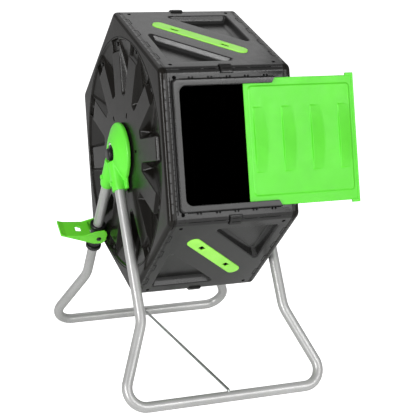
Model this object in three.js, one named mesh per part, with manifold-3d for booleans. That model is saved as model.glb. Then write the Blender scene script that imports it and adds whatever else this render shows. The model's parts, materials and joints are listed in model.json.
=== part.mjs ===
// Compost tumbler: a hexagonal drum that turns on a folded-tube stand, with a sliding door and a lock lever.
// Millimetres, +Z up, +X along the axle, -Y towards the door. The origin is on the floor, at the middle
// of the whole object's footprint.
import * as THREE from "three";
import { mergeVertices } from "three/addons/utils/BufferGeometryUtils.js";
import { ConvexGeometry } from "three/addons/geometries/ConvexGeometry.js";
import Module from "manifold-3d";

const wasm = await Module();
wasm.setup();

const DEG = Math.PI / 180;
const GAP = 0.3; // between pieces that touch on the real object
const THROUGH = 1; // how far a cutter runs past the face that it cuts

// ---- driving dimensions ----
const AXLE_Z = 468;
const DRUM_TILT = 14 * DEG; // the door face looks up by this much
const HEX_SIDE = 300;
const APOTHEM = HEX_SIDE * Math.cos(30 * DEG);
const CORNER_R = 18; // rounding of the six long edges
const END_X = 140; // outer face of an end plate
const SEAM_X = 124; // where side panels and end plates meet
const WALL = 4;

const OPENING = { x: 104, z: 116, r: 15 };
const FRAME = { x: 117, z: 129, proud: 9, lip: 3, railEnd: 99 };
const DOOR = { left: 31, width: 244, height: 253, thick: 3, lug: 5, lugWidth: 18 };
const DOOR_TRAVEL = 143;

const TUBE_R = 11;
const TUBE_WALL = 1.5;
const LEG_X = 159;
const FOOT_Y = 278.6;
const FOOT_CORNER_X = 229.6; // where leg and foot bar would cross without their bend
const FOOT_BEND_R = 38;
const KNEE_BEND_R = 70;
const FRONT_KNEE_Z = 158;
const REAR_KNEE_Z = 147;
const LEG_TOP = 26; // from the axle's centre to the top of a leg tube

const SPLAY = Math.atan2(FOOT_Y, AXLE_Z - TUBE_R); // of a leg, from the vertical
const LEG_LENGTH = Math.hypot(FOOT_Y, AXLE_Z - TUBE_R); // from the axle to the foot bar

const LOCK_PIN = 237; // from the axle down the rear left leg
const LEVER_HALF_WIDTH = 22;
const LEVER_REACH = 89; // of the lever's outer end past its leg's centre

// The lever sticks out further to the left than anything else, and the open door to the right.
const CENTRE_X = (DOOR.left + DOOR.width - LEG_X - LEVER_REACH) / 2;

const COLOURS = {
  black: [0x2b2b2b, 0.55, 0],
  green: [0x6fd32f, 0.45, 0],
  tube: [0xb9bab8, 0.4, 0.5],
  zinc: [0xa8adab, 0.35, 0.9],
};

// ---- solids ----
// A closed geometry as a manifold solid that faces out.
function solid(geometry) {
  const bare = geometry.index ? geometry.toNonIndexed() : geometry.clone();
  for (const name of Object.keys(bare.attributes)) {
    if (name !== "position") bare.deleteAttribute(name);
  }
  const merged = mergeVertices(bare, 1e-3);
  const vertProperties = merged.attributes.position.array;
  const triVerts = new Uint32Array(merged.index.array);
  const made = new wasm.Manifold(new wasm.Mesh({ numProp: 3, vertProperties, triVerts }));
  if (made.volume() >= 0) return made;
  const turned = triVerts.map((_, i) => triVerts[i - (i % 3) + [0, 2, 1][i % 3]]);
  return new wasm.Manifold(new wasm.Mesh({ numProp: 3, vertProperties, triVerts: turned }));
}

function geometryOf(manifold) {
  const mesh = manifold.getMesh();
  const geometry = new THREE.BufferGeometry();
  geometry.setAttribute("position", new THREE.BufferAttribute(mesh.vertProperties, 3));
  geometry.setIndex(new THREE.BufferAttribute(mesh.triVerts, 1));
  geometry.computeVertexNormals();
  return geometry;
}

const join = (pieces) => pieces.reduce((all, piece) => all.add(piece));
const cut = (body, cutters) => cutters.reduce((left, cutter) => left.subtract(cutter), body);

function box(low, high) {
  const size = high.map((value, i) => value - low[i]);
  const middle = high.map((value, i) => (value + low[i]) / 2);
  return solid(new THREE.BoxGeometry(...size).translate(...middle));
}

const hull = (points) => solid(new ConvexGeometry(points.map((p) => new THREE.Vector3(...p))));

// A flat outline [[x, y], ...] pushed up along +Z from low to high.
function prism(outline, low, high) {
  const shape = new THREE.Shape(outline.map(([x, y]) => new THREE.Vector2(x, y)));
  const options = { depth: high - low, bevelEnabled: false };
  return solid(new THREE.ExtrudeGeometry(shape, options).translate(0, 0, low));
}

// An outline of [y, z] points pushed along +X.
function prismX(outline, low, high) {
  const shape = new THREE.Shape(outline.map(([y, z]) => new THREE.Vector2(y, z)));
  const geometry = new THREE.ExtrudeGeometry(shape, { depth: high - low, bevelEnabled: false });
  const axes = new THREE.Matrix4().set(0, 0, 1, low, 1, 0, 0, 0, 0, 1, 0, 0, 0, 0, 0, 1);
  return solid(geometry.applyMatrix4(axes));
}

// A profile of [radius, height] points turned about an axis: "x", "y" or "z".
function turned(profile, sides, axis) {
  const points = profile.map(([r, h]) => new THREE.Vector2(r, h));
  const geometry = new THREE.LatheGeometry(points, sides);
  if (axis === "x") geometry.rotateZ(-90 * DEG);
  if (axis === "z") geometry.rotateX(90 * DEG);
  return solid(geometry);
}

// A plain round bar from low to high along an axis.
const bar = (r, low, high, sides, axis) =>
  turned([[0, low], [r, low], [r, high], [0, high]], sides, axis);

// A rectangle with rounded corners, centred on the origin.
function roundedRectangle(halfX, halfY, r, steps) {
  const points = [];
  [[1, 1], [-1, 1], [-1, -1], [1, -1]].forEach(([sx, sy], corner) => {
    for (let i = 0; i <= steps; i++) {
      const a = (corner * 90 + (90 * i) / steps) * DEG;
      points.push([sx * (halfX - r) + r * Math.cos(a), sy * (halfY - r) + r * Math.sin(a)]);
    }
  });
  return points;
}

function meshOf(name, manifold, colour) {
  const [color, roughness, metalness] = COLOURS[colour];
  const material = new THREE.MeshStandardMaterial({ color, roughness, metalness });
  const mesh = new THREE.Mesh(geometryOf(manifold), material);
  mesh.name = name;
  return mesh;
}

// ---- stand ----
// A path through fixed stations, so that an extrusion has one section at each of them.
class StationPath extends THREE.Curve {
  constructor(stations) {
    super();
    this.stations = stations;
  }
  getPoint(t, target = new THREE.Vector3()) {
    const last = this.stations.length - 1;
    const i = Math.min(Math.floor(t * last), last - 1);
    return target.lerpVectors(this.stations[i], this.stations[i + 1], t * last - i);
  }
  getUtoTmapping(u) {
    return u;
  }
}

// The corner between three points as an arc of radius r, in steps.
function bend(before, corner, after, r, steps) {
  const a = before.clone().sub(corner).normalize();
  const b = after.clone().sub(corner).normalize();
  const half = a.angleTo(b) / 2;
  const middle = a.clone().add(b).normalize();
  const centre = corner.clone().addScaledVector(middle, r / Math.sin(half));
  const start = corner.clone().addScaledVector(a, r / Math.tan(half)).sub(centre);
  const axis = new THREE.Vector3().crossVectors(b, a).normalize();
  const turn = Math.PI - 2 * half;
  const arc = [];
  for (let i = 0; i <= steps; i++) {
    arc.push(start.clone().applyAxisAngle(axis, (turn * i) / steps).add(centre));
  }
  return arc;
}

// Tube section with a flat facet square to a direction at the given angle.
function tubeSection(r, sides, facetAngle) {
  const corner = r / Math.cos(Math.PI / sides);
  return Array.from({ length: sides }, (_, i) => {
    const a = facetAngle + ((i + 0.5) * 2 * Math.PI) / sides;
    return new THREE.Vector2(corner * Math.cos(a), corner * Math.sin(a));
  });
}

function tubeAlong(stations, facetAngle) {
  const shape = new THREE.Shape(tubeSection(TUBE_R, 12, facetAngle));
  shape.holes.push(new THREE.Path(tubeSection(TUBE_R - TUBE_WALL, 8, facetAngle)));
  const options = { steps: stations.length - 1, extrudePath: new StationPath(stations) };
  return solid(new THREE.ExtrudeGeometry(shape, { ...options, bevelEnabled: false }));
}

// A point of a leg frame: x across, down along the leg from the axle; side is -1 in front, 1 behind.
const onLeg = (x, down, side) =>
  new THREE.Vector3(x, side * down * Math.sin(SPLAY), AXLE_Z - down * Math.cos(SPLAY));

function legFrame(side, kneeZ) {
  const knee = (AXLE_Z - kneeZ) / Math.cos(SPLAY);
  const corners = (sx) => ({
    top: onLeg(sx * LEG_X, LEG_TOP, side),
    knee: onLeg(sx * LEG_X, knee, side),
    foot: onLeg(sx * FOOT_CORNER_X, LEG_LENGTH, side),
  });
  const left = corners(-1);
  const right = corners(1);
  const stations = [
    left.top,
    ...bend(left.top, left.knee, left.foot, KNEE_BEND_R, 2),
    ...bend(left.knee, left.foot, right.foot, FOOT_BEND_R, 6),
    ...bend(left.foot, right.foot, right.knee, FOOT_BEND_R, 6),
    ...bend(right.foot, right.knee, right.top, KNEE_BEND_R, 2),
    right.top,
  ];
  const holes = [];
  for (const sx of [-1, 1]) {
    const at = onLeg(sx * LEG_X, BOLT_DOWN, side);
    holes.push(bar(BOLT_HOLE_R, -20, 20, 8, "x").translate(at.x, at.y, at.z));
  }
  const hook = bar(ROD_R + 1, TUBE_R, 3 * TUBE_R, 8, "z").translate(0, side * FOOT_Y, 0);
  return cut(tubeAlong(stations, -side * SPLAY), [...holes, hook]);
}

// Spreader rod between the two foot bars, its ends turned down into them.
const ROD_R = 3;
function spreaderRod() {
  const top = 2 * TUBE_R + ROD_R + GAP;
  const end = 2 * TUBE_R - 2 * ROD_R;
  const at = (y, z) => new THREE.Vector3(0, y, z);
  const [front, rear] = [at(-FOOT_Y, top), at(FOOT_Y, top)];
  const [frontEnd, rearEnd] = [at(-FOOT_Y, end), at(FOOT_Y, end)];
  const stations = [
    frontEnd,
    ...bend(frontEnd, front, rear, 1.5 * ROD_R, 3),
    ...bend(front, rear, rearEnd, 1.5 * ROD_R, 3),
    rearEnd,
  ];
  const shape = new THREE.Shape(tubeSection(ROD_R, 8, 0));
  const options = { steps: stations.length - 1, extrudePath: new StationPath(stations) };
  return solid(new THREE.ExtrudeGeometry(shape, { ...options, bevelEnabled: false }));
}

// Hub at each end of the axle: a domed disc with a socket for each leg. Modelled for the left end,
// about the axle's centre, with the drum towards +X.
const HUB = { rimX: -143.5, rimR: 66, domeX: -167, boreR: 18, socketR: 15.5, socketEnd: 86 };
const BOLT_DOWN = 66;
const BOLT_HOLE_R = 3.6;

// A bar down a leg: from the axle's centre, at the leg's own X.
function alongLeg(r, from, to, sides, side) {
  const down = bar(r, -to, -from, sides, "z").rotate([(side * SPLAY) / DEG, 0, 0]);
  return down.translate(-LEG_X, 0, 0);
}

function hubBracket() {
  const dome = turned(
    [
      [0, HUB.rimX], [HUB.rimR, HUB.rimX], [HUB.rimR, HUB.rimX - 7], [HUB.rimR - 5, HUB.rimX - 11],
      [40, HUB.rimX - 19], [27, HUB.domeX], [0, HUB.domeX],
    ],
    24, "x",
  );
  const sockets = [-1, 1].map((side) => alongLeg(HUB.socketR, LEG_TOP, HUB.socketEnd, 12, side));
  const spread = (down) => down * Math.sin(SPLAY);
  const web = prismX(
    [
      [-spread(78), -78 * Math.cos(SPLAY)], [spread(78), -78 * Math.cos(SPLAY)],
      [spread(40), -30], [-spread(40), -30],
    ],
    -LEG_X - 7, HUB.rimX,
  );
  const legs = [-1, 1].map((side) =>
    alongLeg(TUBE_R + 1, LEG_TOP - GAP, HUB.socketEnd + THROUGH, 12, side),
  );
  const bolts = [-1, 1].map((side) => {
    const at = onLeg(0, BOLT_DOWN, side);
    return bar(BOLT_HOLE_R, -LEG_X - 30, -LEG_X + 30, 8, "x").translate(0, at.y, at.z - AXLE_Z);
  });
  const bore = bar(HUB.boreR, HUB.domeX - THROUGH, HUB.rimX + THROUGH, 24, "x");
  return cut(join([dome, ...sockets, web]), [...legs, ...bolts, bore]);
}

const AXLE_R = 14.5;
const hubBushing = () =>
  turned(
    [
      [AXLE_R + 0.5, HUB.domeX], [HUB.boreR - GAP, HUB.domeX],
      [HUB.boreR - GAP, HUB.rimX - 1], [AXLE_R + 0.5, HUB.rimX - 1], [AXLE_R + 0.5, HUB.domeX],
    ],
    24, "x",
  );

// Bolt through a socket and its leg, its round head outside.
function socketBolt(side) {
  const at = onLeg(0, BOLT_DOWN, side);
  const outside = -LEG_X - HUB.socketR - GAP;
  const shank = bar(3, outside - 1, -LEG_X + HUB.socketR + 1, 8, "x");
  const head = bar(5.5, outside - 3.5, outside, 10, "x");
  return join([shank, head]).translate(0, at.y, at.z - AXLE_Z);
}

// ---- lock on the rear left leg ----
// Modelled about the pivot: x across, y up the leg, z towards the door side.
const COLLAR = { r: 15, ringR: 17.3, top: 26, bottom: -45, ring: 8 };
const PIN_R = 3.2;

function lockCollar() {
  const { r, ringR, top, bottom, ring } = COLLAR;
  const inner = TUBE_R + 0.8;
  const sleeve = turned(
    [
      [inner, bottom], [ringR, bottom], [ringR, bottom + ring], [r, bottom + ring],
      [r, top - ring], [ringR, top - ring], [ringR, top], [inner, top], [inner, bottom],
    ],
    20, "y",
  );
  const bossEnd = LEVER_HALF_WIDTH - 4;
  const boss = cut(bar(7.5, -bossEnd, bossEnd, 16, "z"), [bar(inner, -20, 20, 20, "y")]);
  return cut(join([sleeve, boss]), [bar(PIN_R + GAP, -40, 40, 12, "z")]);
}

// Hole for the pin across the rear left leg, in the stand's frame.
function pinHole() {
  const at = onLeg(-LEG_X, LOCK_PIN, 1);
  const across = bar(PIN_R + GAP, -20, 20, 12, "z").rotate([90 + SPLAY / DEG, 0, 0]);
  return across.translate(at.x, at.y, at.z);
}

const lockPivotPin = () =>
  join([
    bar(PIN_R, -LEVER_HALF_WIDTH - 3, LEVER_HALF_WIDTH + 1, 12, "z"),
    bar(5.2, LEVER_HALF_WIDTH + GAP, LEVER_HALF_WIDTH + 3.5, 12, "z"),
  ]);

// A channel that is open below, so that it can swing down over its leg.
function lockLever() {
  const noseX = LEG_X - END_X - 1.2;
  const end = -LEVER_REACH;
  // The lower corner lies on a circle about the pin that stays clear of the end plate.
  const heel = [[noseX, -4.5], [16.3, -8.5], [13.5, -12.5], [9.8, -15.5]];
  const brow = [[10, 24.5], [15, 20], [noseX, 13]];
  const flange = [
    [-6, 12], [-1, 22], ...brow, ...heel,
    [-8, -15.3], [end, 18], [end, 22], [-76, 18.5], [-63, 17],
  ];
  const plate = [
    [-6, 12], [-63, 17], [-76, 18.5], [end, 22], [end, 18], [-75, 15], [-62, 13.5], [-6, 8.6],
  ];
  const nose = [
    ...brow, ...heel, [8, -14], [12.5, -9], [13.8, -4], [noseX - 3.5, 11], [11.5, 18], [8, 21],
  ];
  const half = LEVER_HALF_WIDTH;
  const wall = 3;
  const slot = box([-51, 0, -6], [-39, 40, 8]);
  const swing = COLLAR.ringR + 0.5;
  const roomForRings = bar(COLLAR.ringR + 1.2, -60, 60, 20, "y");
  const roomForSleeve = bar(COLLAR.r + 0.5, -60, 60, 20, "y");
  const roomToSwing = box([0, -4, -swing], [2 * noseX, 40, swing]);
  return cut(
    join([
      prism(flange, half - wall, half),
      prism(flange, -half, -half + wall),
      cut(prism(plate, -half, half), [slot, roomForRings]),
      cut(prism(nose, -half, half), [roomForSleeve, roomToSwing]),
    ]),
    [bar(PIN_R + GAP, -40, 40, 12, "z")],
  );
}

// ---- drum ----
// A hexagon of one apothem with each corner as an arc about its own centre, in the y-z plane.
function hexagon(apothem, cornerR, steps) {
  const points = [];
  const reach = (apothem - cornerR) / Math.cos(30 * DEG);
  for (let corner = 0; corner < 6; corner++) {
    const at = (30 + 60 * corner) * DEG;
    for (let i = 0; i <= steps; i++) {
      const a = at + (-30 + (60 * i) / steps) * DEG;
      points.push([
        reach * Math.cos(at) + cornerR * Math.cos(a),
        reach * Math.sin(at) + cornerR * Math.sin(a),
      ]);
    }
  }
  return points;
}

const FINGERS = 12;
const FINGER_HALF = 23.5;
const STEP = { inner: 213, outer: 241, depth: 6.5 };
const PETAL = { tip: 126, outer: 237, deep: 22 };
const SLOT_R = 88;

// Half the room between two fingers, at a distance r along the middle between them.
const petalHalf = (r) => {
  const half = 180 / FINGERS * DEG;
  return (r * Math.sin(half) - FINGER_HALF) / Math.cos(half);
};

// The wedge of room between two fingers, larger by grow, about the direction +Y; x is the depth.
function petal(grow) {
  const top = grow ? WALL / 2 : -THROUGH;
  const tip = PETAL.tip - grow;
  const outer = PETAL.outer + grow;
  const wide = petalHalf(PETAL.outer - 6) + grow;
  const points = [];
  for (const s of [-1, 1]) {
    points.push(
      [top, tip, s * 5], [top, tip + 5, s * (petalHalf(PETAL.tip + 5) + grow)],
      [top, outer - 6, s * wide], [top, outer, s * (wide - 8)],
      [PETAL.deep + grow, tip + 10, s * (2 + grow)],
      [PETAL.deep * 0.75 + grow, tip + 50, s * (12 + grow)],
      [STEP.depth + 1 + grow, outer - 4, s * (wide - 6)],
    );
  }
  return hull(points);
}

const fingerAngles = Array.from({ length: FINGERS }, (_, i) => (360 / FINGERS) * i);
const screwAngles = fingerAngles.filter((a) => a % 180 !== 0);
const SCREW_R = 231;

// The sunken step beyond a finger's end, larger by grow, about the direction +Y.
function fingerStep(grow) {
  const { inner, outer, depth } = STEP;
  const half = FINGER_HALF + 3 + grow;
  const top = grow ? WALL / 2 : -THROUGH;
  const points = [];
  for (const s of [-1, 1]) {
    points.push(
      [top, inner - grow, s * half], [top, outer + grow, s * half],
      [depth + grow, inner + 4 - grow, s * half], [depth + grow, outer - 1 + grow, s * half],
    );
  }
  return hull(points);
}

// The left end plate, with its outer face at -END_X. Depths count from that face.
function endPlate() {
  const ring = (x, apothem, r) => hexagon(apothem, r, 3).map(([y, z]) => [x, y, z]);
  const shell = (inset) =>
    hull([
      ...ring(-END_X + inset, APOTHEM - 15 - inset / 2, CORNER_R - 12),
      ...ring(-END_X + 4 + inset, APOTHEM - 5 - inset, CORNER_R - 4),
      ...ring(-END_X + 10 + inset / 2, APOTHEM - 1 - inset, CORNER_R - 1),
      ...ring(-SEAM_X + (inset ? THROUGH : 0), APOTHEM - inset, CORNER_R),
    ]);
  const around = (piece, angle) => piece.rotate([angle, 0, 0]).translate(-END_X, 0, 0);
  const petalAngles = fingerAngles.map((a) => a + 180 / FINGERS);
  const boss = box([0.8, SCREW_R - 9, -11], [STEP.depth + 2, STEP.outer + 1, 11]);
  const pocket = box([-THROUGH, SCREW_R - 6, -7.5], [3.4, SCREW_R + 6, 7.5]);
  const hole = bar(2.3, 0, 20, 8, "x").translate(0, SCREW_R, 0);
  const slot = box([-THROUGH, SLOT_R - 5.5, -2.5], [WALL + THROUGH, SLOT_R + 5.5, 2.5]);
  const slotAngles = fingerAngles.filter((a) => a % 60 === 0);
  const bore = bar(AXLE_R + GAP, -END_X - THROUGH, -END_X + WALL + THROUGH, 24, "x");
  const body = join([
    cut(shell(0), [shell(WALL)]),
    ...fingerAngles.map((a) => around(fingerStep(3), a)),
    ...petalAngles.map((a) => around(petal(3), a)),
  ]);
  const open = cut(body, [
    ...fingerAngles.map((a) => around(fingerStep(0), a)),
    ...petalAngles.map((a) => around(petal(0), a)),
  ]);
  return cut(join([open, ...screwAngles.map((a) => around(boss, a))]), [
    ...screwAngles.map((a) => around(join([pocket, hole]), a)),
    ...slotAngles.map((a) => around(slot, a)),
    bore,
  ]);
}

function plateScrew(angle) {
  const screw = turned([[0, 0.6], [4.2, 0.6], [4.2, 3.1], [2, 3.1], [2, 12], [0, 12]], 6, "x");
  return screw.translate(0, SCREW_R, 0).rotate([angle, 0, 0]).translate(-END_X, 0, 0);
}

// Journal that carries the drum in its hub, with a flange inside the end plate.
const AXLE_END = -168.5;
function stubAxle() {
  const flange = bar(40, -END_X + WALL + GAP, -END_X + WALL + 5, 24, "x");
  const journal = bar(AXLE_R, AXLE_END, -END_X + WALL + 1, 24, "x");
  const hollow = bar(8, -END_X - 10, 0, 12, "x");
  return cut(join([flange, journal]), [hollow]);
}

const CAP_R = 15.5;
const axleCap = () =>
  turned(
    [
      [0, AXLE_END - GAP], [CAP_R, AXLE_END - GAP], [CAP_R, AXLE_END - 4], [CAP_R - 3, AXLE_END - 7],
      [0, AXLE_END - 7],
    ],
    24, "x",
  );

// ---- side panels ----
// Each is modelled flat: x along the axle, y across towards the next panel, z out from the axle.
const VENT = { angle: -46.8 * DEG, half: 94.6, r: 14, holeAt: 58, proud: 1.5, thick: 3 };
const POCKET = { x: 105, y: 121, legX: 143, legY: 151, depth: 15, slope: 9, corner: 9 };

// Cross-section of one panel, cut square to the next one on the plane between them.
function panelSection() {
  const tangent = HEX_SIDE / 2 - CORNER_R * Math.tan(30 * DEG);
  const arc = (r) =>
    [0, 15, 29.93].map((a) => [
      tangent + r * Math.sin(a * DEG), APOTHEM - CORNER_R + r * Math.cos(a * DEG),
    ]);
  const outer = arc(CORNER_R);
  const inner = arc(CORNER_R - WALL);
  const right = [...outer, ...inner.reverse()];
  const left = right.map(([y, z]) => [-y, z]).reverse();
  return [...right, ...left];
}

const plainPanel = () => prismX(panelSection(), -SEAM_X + GAP, SEAM_X - GAP);

// Corners of a right triangle, each cut off a little; inset moves every side inwards.
function triangle(inset) {
  const { x, y, legX, legY, corner } = POCKET;
  const slopeLength = Math.hypot(legX, legY);
  const shortenX = (inset * (legX + slopeLength)) / legY;
  const shortenY = (inset * (legY + slopeLength)) / legX;
  const [x0, y0] = [x - inset, y - inset];
  const [x1, y1] = [x - legX + shortenX, y - legY + shortenY];
  const c = Math.max(corner - inset / 4, 2);
  const [kx, ky] = [c * (legX / slopeLength), c * (legY / slopeLength)];
  return [
    [x0, y0 - c], [x0 - c, y0], [x1 + c, y0], [x1 + kx, y0 - ky], [x0 - kx, y1 + ky], [x0, y1 + c],
  ];
}

function triangularPocket(grow) {
  const high = APOTHEM + (grow ? -WALL / 2 : THROUGH);
  const low = APOTHEM - POCKET.depth - grow;
  const top = triangle(-grow).map(([x, y]) => [x, y, high]);
  const floor = triangle(POCKET.slope - grow).map(([x, y]) => [x, y, low]);
  return hull([...top, ...floor]);
}

const halfTurn = (piece) => piece.rotate([0, 0, 180]);
const atVent = (piece) => piece.rotate([0, 0, VENT.angle / DEG]);

// A long slot outline with round ends.
function stadium(half, r, steps) {
  const points = [];
  for (const s of [1, -1]) {
    for (let i = 0; i <= steps; i++) {
      const a = (-90 + (180 * i) / steps) * DEG;
      points.push([s * (half + r * Math.cos(a)), s * r * Math.sin(a)]);
    }
  }
  return points;
}

function ventHoles(halfX, halfY) {
  const hole = box([-halfX, -halfY, APOTHEM - 20], [halfX, halfY, APOTHEM + 20]);
  return [-1, 1].map((s) => hole.translate(s * VENT.holeAt, 0, 0));
}

function ventedPanel() {
  const seat = VENT.thick - VENT.proud + GAP;
  const groove = prism(stadium(VENT.half, VENT.r + GAP, 6), APOTHEM - seat, APOTHEM + THROUGH);
  const cups = [triangularPocket(3), halfTurn(triangularPocket(3))];
  const rooms = [triangularPocket(0), halfTurn(triangularPocket(0))];
  return cut(join([plainPanel(), ...cups]), [
    ...rooms,
    atVent(join([groove, ...ventHoles(7, 4)])),
  ]);
}

function ventStrip() {
  const top = APOTHEM + VENT.proud;
  const strip = prism(stadium(VENT.half, VENT.r, 6), top - VENT.thick, top);
  return atVent(cut(strip, ventHoles(9.5, 5)));
}

function frontPanel() {
  const hole = prism(
    roundedRectangle(OPENING.x, OPENING.z, OPENING.r, 4), APOTHEM - 2 * WALL, APOTHEM + THROUGH,
  );
  return cut(plainPanel(), [hole]);
}

// Raised frame round three sides of the opening, with the channel that the door slides in.
function doorFrame() {
  const { x, z, proud, lip, railEnd } = FRAME;
  const low = APOTHEM + GAP;
  const high = APOTHEM + proud;
  const outline = [
    [-x + 5, -z], [railEnd - 6, -z], [railEnd, -z + 6], [railEnd, z - 6], [railEnd - 6, z],
    [-x + 5, z], [-x, z - 5], [-x, -z + 5],
  ];
  const inner = roundedRectangle(OPENING.x, OPENING.z, OPENING.r, 4);
  const room = prism(inner, low - THROUGH, high + THROUGH);
  const past = x + THROUGH;
  const right = box(
    [OPENING.x - OPENING.r - 1, -OPENING.z, low - THROUGH], [past, OPENING.z, high + THROUGH],
  );
  const doorHalf = DOOR.height / 2 + GAP;
  const closed = DOOR.left - DOOR_TRAVEL - GAP;
  const channel = box([closed, -doorHalf, low + 0.7], [past, doorHalf, high - lip]);
  return cut(prism(outline, low, high), [room, right, channel]);
}

const RIB = { pitch: 63, half: 65, proud: 5 };
const DOOR_LOW = APOTHEM + 1.3;

// A long rib with pointed ends: where two large arcs cross.
function ribOutline(half, width) {
  const r = (half * half + (width * width) / 4) / width;
  const reach = Math.asin(half / r);
  const points = [];
  for (const s of [1, -1]) {
    for (let i = 0; i < 5; i++) {
      const a = -reach + (2 * reach * i) / 5;
      points.push([s * (r * Math.cos(a) - (r - width / 2)), s * r * Math.sin(a)]);
    }
  }
  return points;
}

function slidingDoor() {
  const { width, height, thick, lug, lugWidth } = DOOR;
  const [halfX, halfY] = [width / 2, height / 2];
  const sheet = prism(roundedRectangle(halfX, halfY, 4, 2), DOOR_LOW, DOOR_LOW + thick);
  const lugs = box(
    [halfX - lugWidth, -halfY - lug, DOOR_LOW], [halfX, halfY + lug, DOOR_LOW + thick],
  );
  const field = roundedRectangle(halfX - 12, halfY - 14, 6, 2);
  const raised = hull([
    ...field.map(([x, y]) => [x, y, DOOR_LOW + thick - 0.5]),
    ...field.map(([x, y]) => [x * 0.975, y * 0.975, DOOR_LOW + thick + 2.5]),
  ]);
  const hollow = hull([
    ...field.map(([x, y]) => [x * 0.975, y * 0.975, DOOR_LOW - THROUGH]),
    ...field.map(([x, y]) => [x * 0.955, y * 0.955, DOOR_LOW + 2.5]),
  ]);
  const top = DOOR_LOW + thick + 2.5;
  const ribs = [-1.5, -0.5, 0.5, 1.5].map((i) => {
    const foot = ribOutline(RIB.half, 28).map(([x, y]) => [x, y, top - 1]);
    const crest = ribOutline(RIB.half - 8, 14).map(([x, y]) => [x, y, top + RIB.proud]);
    return hull([...foot, ...crest]).translate(i * RIB.pitch, 0, 0);
  });
  return cut(join([sheet, lugs, raised, ...ribs]), [hollow]).translate(DOOR.left + halfX, 0, 0);
}

// Clip over the edge between two panels, modelled about the direction of that edge.
function seamClip() {
  const reach = APOTHEM / Math.cos(30 * DEG) - CORNER_R * (1 / Math.cos(30 * DEG) - 1);
  const centre = reach - CORNER_R;
  const arc = (r) =>
    [-29, -15, 0, 15, 29].map((a) => [r * Math.sin(a * DEG), centre + r * Math.cos(a * DEG)]);
  const outline = [...arc(CORNER_R + 4), ...arc(CORNER_R + GAP + 0.2).reverse()];
  return prismX(outline, -12.5, 12.5);
}

// ---- assembly ----
const mirrored = (piece) => piece.mirror([1, 0, 0]);
const sides = [["left", (piece) => piece], ["right", mirrored]];

const tumbler = new THREE.Group();
tumbler.position.x = -CENTRE_X;

function buildStand() {
  const stand = new THREE.Group();
  const rearLegs = cut(legFrame(1, REAR_KNEE_Z), [pinHole()]);
  stand.add(meshOf("front_leg_frame", legFrame(-1, FRONT_KNEE_Z), "tube"));
  stand.add(meshOf("rear_leg_frame", rearLegs, "tube"));
  stand.add(meshOf("spreader_rod", spreaderRod(), "zinc"));
  const hubs = new THREE.Group();
  hubs.position.z = AXLE_Z;
  for (const [name, place] of sides) {
    hubs.add(meshOf(`${name}_hub_bracket`, place(hubBracket()), "green"));
    hubs.add(meshOf(`${name}_hub_bushing`, place(hubBushing()), "black"));
    hubs.add(meshOf(`front_${name}_socket_bolt`, place(socketBolt(-1)), "black"));
    hubs.add(meshOf(`rear_${name}_socket_bolt`, place(socketBolt(1)), "black"));
  }
  stand.add(hubs);
  const lock = new THREE.Group();
  lock.position.copy(onLeg(-LEG_X, LOCK_PIN, 1));
  lock.rotation.x = 90 * DEG + SPLAY;
  lock.add(meshOf("lock_collar", lockCollar(), "black"));
  lock.add(meshOf("lock_pivot_pin", lockPivotPin(), "black"));
  lock.add(meshOf("lock_lever", lockLever(), "green"));
  stand.add(lock);
  return stand;
}

// Direction of each closed panel, counted upwards from the door.
const PANELS = {
  upper_front: 60, upper_rear: 120, rear: 180, lower_rear: 240, lower_front: 300,
};

function onPanel(angle, ...meshes) {
  const group = new THREE.Group();
  group.rotation.x = 90 * DEG - angle * DEG;
  group.add(...meshes);
  return group;
}

function buildDrum() {
  const drum = new THREE.Group();
  drum.position.z = AXLE_Z;
  drum.rotation.x = -DRUM_TILT;
  for (const [name, place] of sides) {
    drum.add(meshOf(`${name}_end_plate`, place(endPlate()), "black"));
    drum.add(meshOf(`${name}_stub_axle`, place(stubAxle()), "black"));
    drum.add(meshOf(`${name}_axle_cap`, place(axleCap()), "black"));
    screwAngles.forEach((angle, i) => {
      drum.add(meshOf(`${name}_plate_screw_${i + 1}`, place(plateScrew(angle)), "zinc"));
    });
  }
  for (const [name, angle] of Object.entries(PANELS)) {
    const panel = meshOf(`${name}_panel`, ventedPanel(), "black");
    drum.add(onPanel(angle, panel, meshOf(`${name}_vent_strip`, ventStrip(), "green")));
  }
  const front = meshOf("front_panel", frontPanel(), "black");
  const frame = meshOf("door_frame", doorFrame(), "black");
  drum.add(onPanel(0, front, frame, meshOf("sliding_door", slidingDoor(), "green")));
  for (let i = 0; i < 6; i++) {
    drum.add(onPanel(30 + 60 * i, meshOf(`seam_clip_${i + 1}`, seamClip(), "black")));
  }
  return drum;
}

tumbler.add(buildStand(), buildDrum());

export default tumbler;
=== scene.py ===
"""Looks of the compost tumbler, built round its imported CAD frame.

Shapes are worked out in millimetres in a local frame and placed by one matrix, so a piece is written
the way it would be drawn: side panels flat, end plates round the axle, the lever about its pin.
"""
import json
import math

import bmesh
import bpy
from mathutils import Matrix, Vector
from mathutils.geometry import delaunay_2d_cdt


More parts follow.
